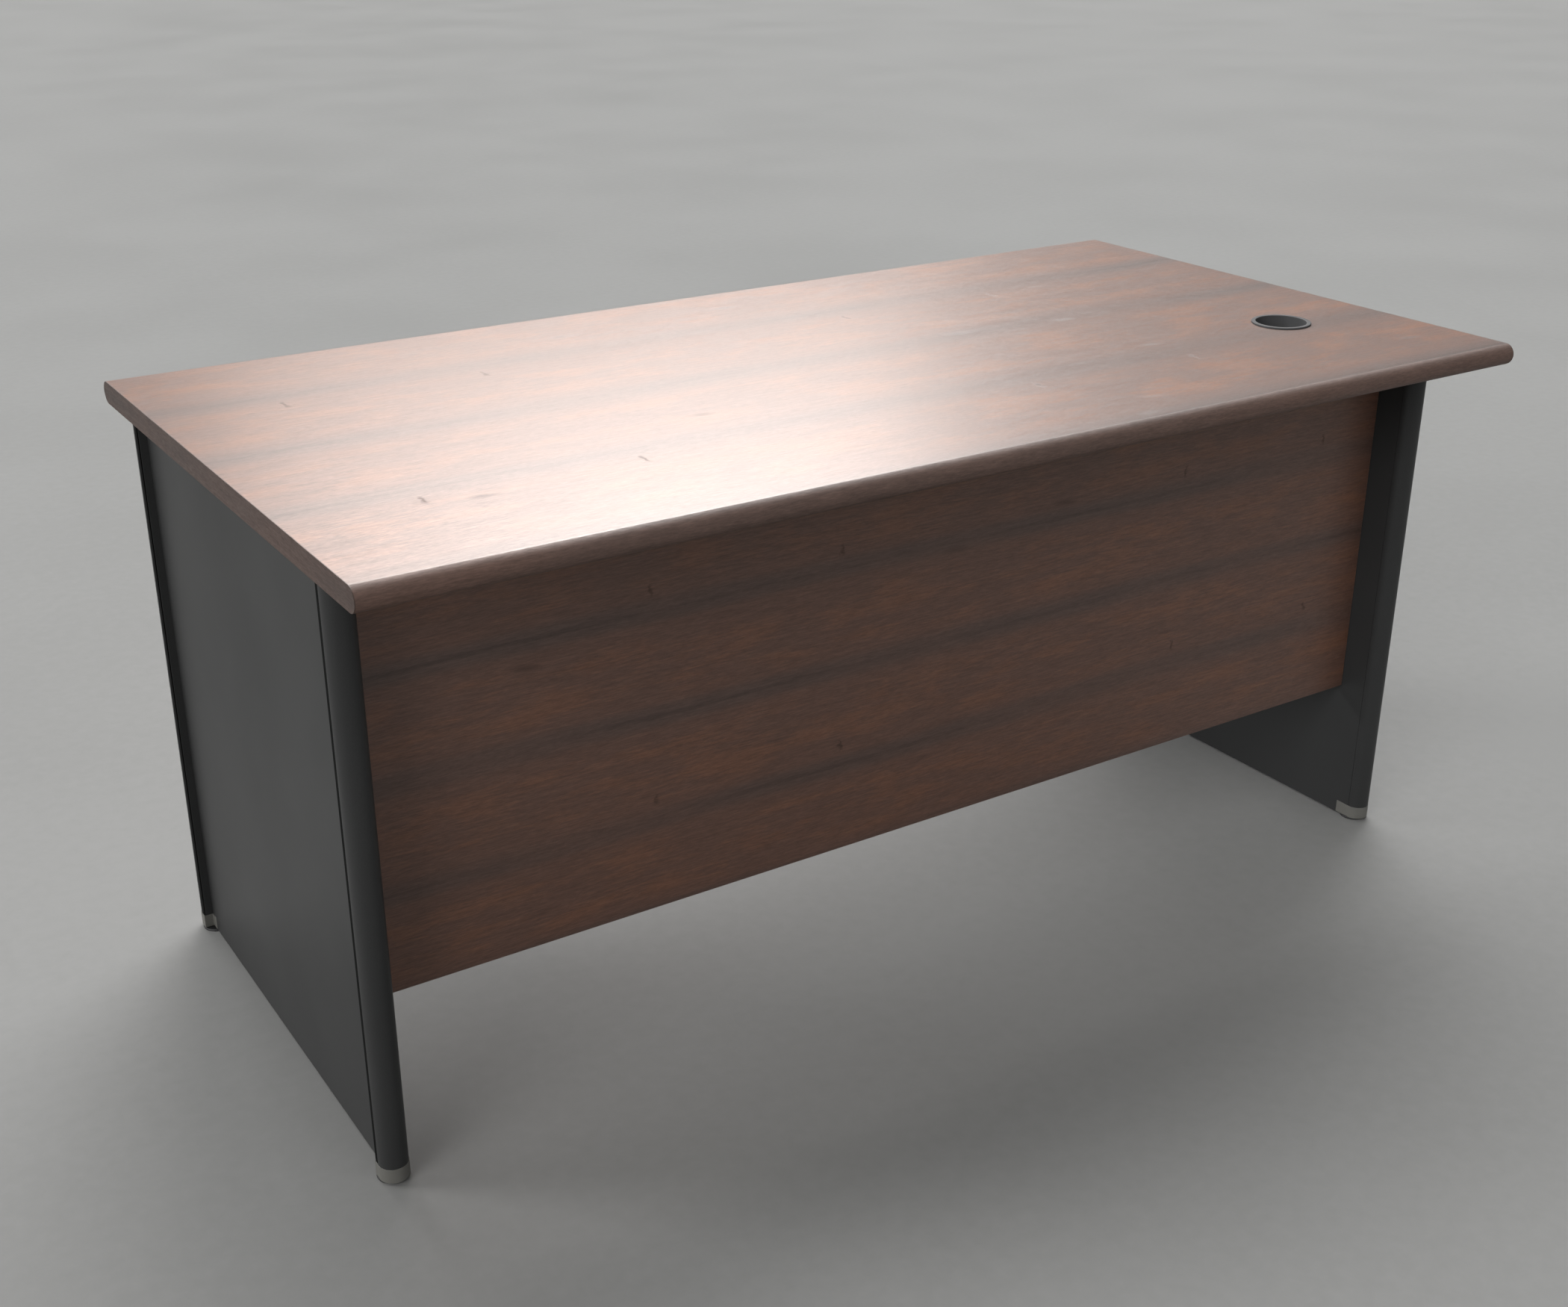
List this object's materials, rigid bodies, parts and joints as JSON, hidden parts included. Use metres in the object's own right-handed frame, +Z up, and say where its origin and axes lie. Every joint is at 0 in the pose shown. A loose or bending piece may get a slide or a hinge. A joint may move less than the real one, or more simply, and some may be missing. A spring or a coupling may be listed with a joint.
{
  "type": "teacher desk",
  "caption": "Rectangular desk with a bullnosed woodgrain top, hollow steel panel legs, a modesty panel, a cable outlet and screw-levelled feet.",
  "frame": {"origin": "on the floor, under the middle of the worktop, with the levelling feet screwed fully in", "axes": "+X along the desk, towards the end with the cable outlet; +Y from the visitor's side, where the modesty panel is, to the user's side; +Z up"},
  "size_m": [1.6, 0.836, 0.7526],
  "materials": {
    "worktop_laminate": "satin walnut-print laminate",
    "chipboard": "raw chipboard",
    "balancing_sheet": "matt balancing laminate",
    "end_band": "satin walnut-print edge band",
    "modesty_face": "matt walnut-print melamine-faced board",
    "modesty_edge": "walnut-print edge band",
    "grommet_plastic": "satin black",
    "leg_paint": "fine-textured charcoal powder coat",
    "inner_steel": "bare mild steel",
    "bracket_paint": "black powder coat",
    "cap_plastic": "light warm grey moulding",
    "foot_plastic": "black moulding",
    "zinc_steel": "bright zinc plate"
  },
  "bodies": {
    "desk": {"cable_grommet": "grommet_plastic", "desktop_backer": "balancing_sheet", "desktop_core": "chipboard", "desktop_end_band_left": "end_band", "desktop_end_band_right": "end_band", "desktop_inserts": "zinc_steel", "desktop_laminate": "worktop_laminate", "desktop_screws": "zinc_steel", "glide_nuts": "zinc_steel", "left_bottom_channel": "inner_steel", "left_front_foot_cap": "cap_plastic", "left_front_post": "leg_paint", "left_front_top_bracket": "bracket_paint", "left_inner_panel": "leg_paint", "left_lower_modesty_bracket": "bracket_paint", "left_outer_panel": "leg_paint", "left_rear_foot_cap": "cap_plastic", "left_rear_post": "leg_paint", "left_rear_top_bracket": "bracket_paint", "left_stiffener": "inner_steel", "left_top_channel": "inner_steel", "left_upper_modesty_bracket": "bracket_paint", "leg_rivet_nuts": "zinc_steel", "leg_screws": "zinc_steel", "modesty_board": "modesty_face", "modesty_bottom_band": "modesty_edge", "modesty_inserts": "zinc_steel", "modesty_left_band": "modesty_edge", "modesty_right_band": "modesty_edge", "modesty_screws": "zinc_steel", "right_bottom_channel": "inner_steel", "right_front_foot_cap": "cap_plastic", "right_front_post": "leg_paint", "right_front_top_bracket": "bracket_paint", "right_inner_panel": "leg_paint", "right_lower_modesty_bracket": "bracket_paint", "right_outer_panel": "leg_paint", "right_rear_foot_cap": "cap_plastic", "right_rear_post": "leg_paint", "right_rear_top_bracket": "bracket_paint", "right_stiffener": "inner_steel", "right_top_channel": "inner_steel", "right_upper_modesty_bracket": "bracket_paint"},
    "left_front_foot": {"left_front_glide_pad": "foot_plastic"},
    "left_front_screw": {"left_front_glide_stud": "zinc_steel"},
    "left_rear_foot": {"left_rear_glide_pad": "foot_plastic"},
    "left_rear_screw": {"left_rear_glide_stud": "zinc_steel"},
    "right_front_foot": {"right_front_glide_pad": "foot_plastic"},
    "right_front_screw": {"right_front_glide_stud": "zinc_steel"},
    "right_rear_foot": {"right_rear_glide_pad": "foot_plastic"},
    "right_rear_screw": {"right_rear_glide_stud": "zinc_steel"}
  },
  "joints": [
    {"name": "left_front_foot_slide", "type": "slide", "parent": "desk", "child": "left_front_foot", "axis": [0, 0, -1], "range_m": [0, 0.01]},
    {"name": "left_front_screw_turn", "type": "hinge", "parent": "left_front_foot", "child": "left_front_screw", "pos_m": [-0.7715, -0.2815, 0.02], "axis": [0, 0, -1], "range_deg": [0, 3600]},
    {"name": "left_rear_foot_slide", "type": "slide", "parent": "desk", "child": "left_rear_foot", "axis": [0, 0, -1], "range_m": [0, 0.01]},
    {"name": "left_rear_screw_turn", "type": "hinge", "parent": "left_rear_foot", "child": "left_rear_screw", "pos_m": [-0.7715, 0.3405, 0.02], "axis": [0, 0, -1], "range_deg": [0, 3600]},
    {"name": "right_front_foot_slide", "type": "slide", "parent": "desk", "child": "right_front_foot", "axis": [0, 0, -1], "range_m": [0, 0.01]},
    {"name": "right_front_screw_turn", "type": "hinge", "parent": "right_front_foot", "child": "right_front_screw", "pos_m": [0.7715, -0.2815, 0.02], "axis": [0, 0, -1], "range_deg": [0, 3600]},
    {"name": "right_rear_foot_slide", "type": "slide", "parent": "desk", "child": "right_rear_foot", "axis": [0, 0, -1], "range_m": [0, 0.01]},
    {"name": "right_rear_screw_turn", "type": "hinge", "parent": "right_rear_foot", "child": "right_rear_screw", "pos_m": [0.7715, 0.3405, 0.02], "axis": [0, 0, -1], "range_deg": [0, 3600]}
  ],
  "couplings": [
    {"joint": "left_front_screw_turn", "follows": "left_front_foot_slide", "rad_per_m": 6283.2},
    {"joint": "left_rear_screw_turn", "follows": "left_rear_foot_slide", "rad_per_m": 6283.2},
    {"joint": "right_front_screw_turn", "follows": "right_front_foot_slide", "rad_per_m": 6283.2},
    {"joint": "right_rear_screw_turn", "follows": "right_rear_foot_slide", "rad_per_m": 6283.2}
  ]
}
